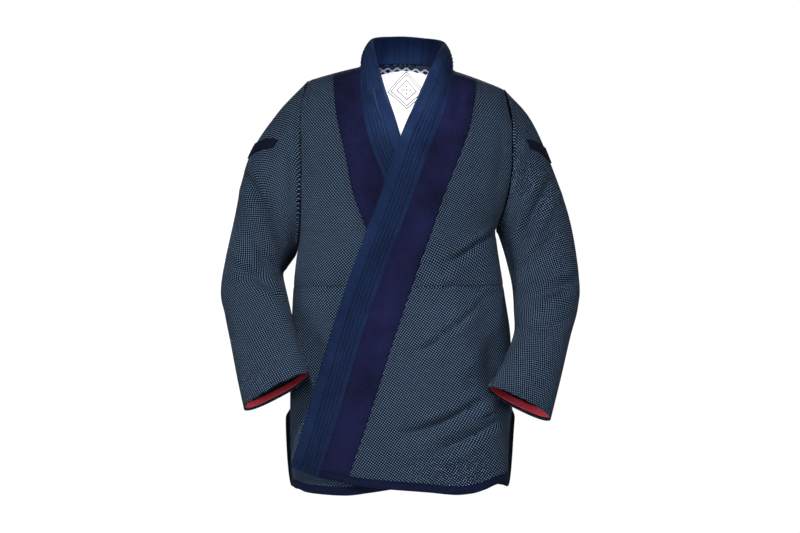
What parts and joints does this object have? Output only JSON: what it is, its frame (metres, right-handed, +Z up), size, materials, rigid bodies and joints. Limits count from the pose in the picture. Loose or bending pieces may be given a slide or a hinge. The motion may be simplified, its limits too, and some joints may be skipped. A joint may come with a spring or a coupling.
{
  "type": "jiu-jitsu gi jacket",
  "caption": "Martial-arts jacket filled out as if worn: crossed front, ribbed lapel, plain bands beside it, taped hem with side slits and bent, open sleeves.",
  "frame": {"origin": "where the shoulders bear on the wearer, in the middle of the jacket", "axes": "+X to the wearer's left, -Y to the front, +Z up"},
  "size_m": [0.6225, 0.3355, 0.8015],
  "materials": {
    "pearl_weave": "matt cotton pearl weave",
    "purple_navy_twill": "matt cotton twill",
    "navy_twill": "matt cotton twill",
    "navy_tape": "matt woven tape",
    "red_tape": "matt woven tape",
    "white_label": "smooth woven label",
    "navy_lining": "smooth lining",
    "navy_patch": "smooth woven patch"
  },
  "bodies": {
    "root": {"back_lining": "navy_lining", "back_skirt": "pearl_weave", "back_upper": "pearl_weave", "band_left": "purple_navy_twill", "band_right": "purple_navy_twill", "cuff_tape_left": "red_tape", "cuff_tape_right": "red_tape", "front_left_skirt": "pearl_weave", "front_left_upper": "pearl_weave", "front_right_skirt": "pearl_weave", "front_right_upper": "pearl_weave", "hem_binding_back": "navy_tape", "hem_binding_front_left": "navy_tape", "hem_binding_front_right": "navy_tape", "lapel_left": "navy_twill", "lapel_neck": "navy_twill", "lapel_right": "navy_twill", "neck_label": "white_label", "patch_left": "navy_patch", "patch_right": "navy_patch", "sleeve_lower_left": "pearl_weave", "sleeve_lower_right": "pearl_weave", "sleeve_upper_left": "pearl_weave", "sleeve_upper_right": "pearl_weave"}
  },
  "joints": []
}
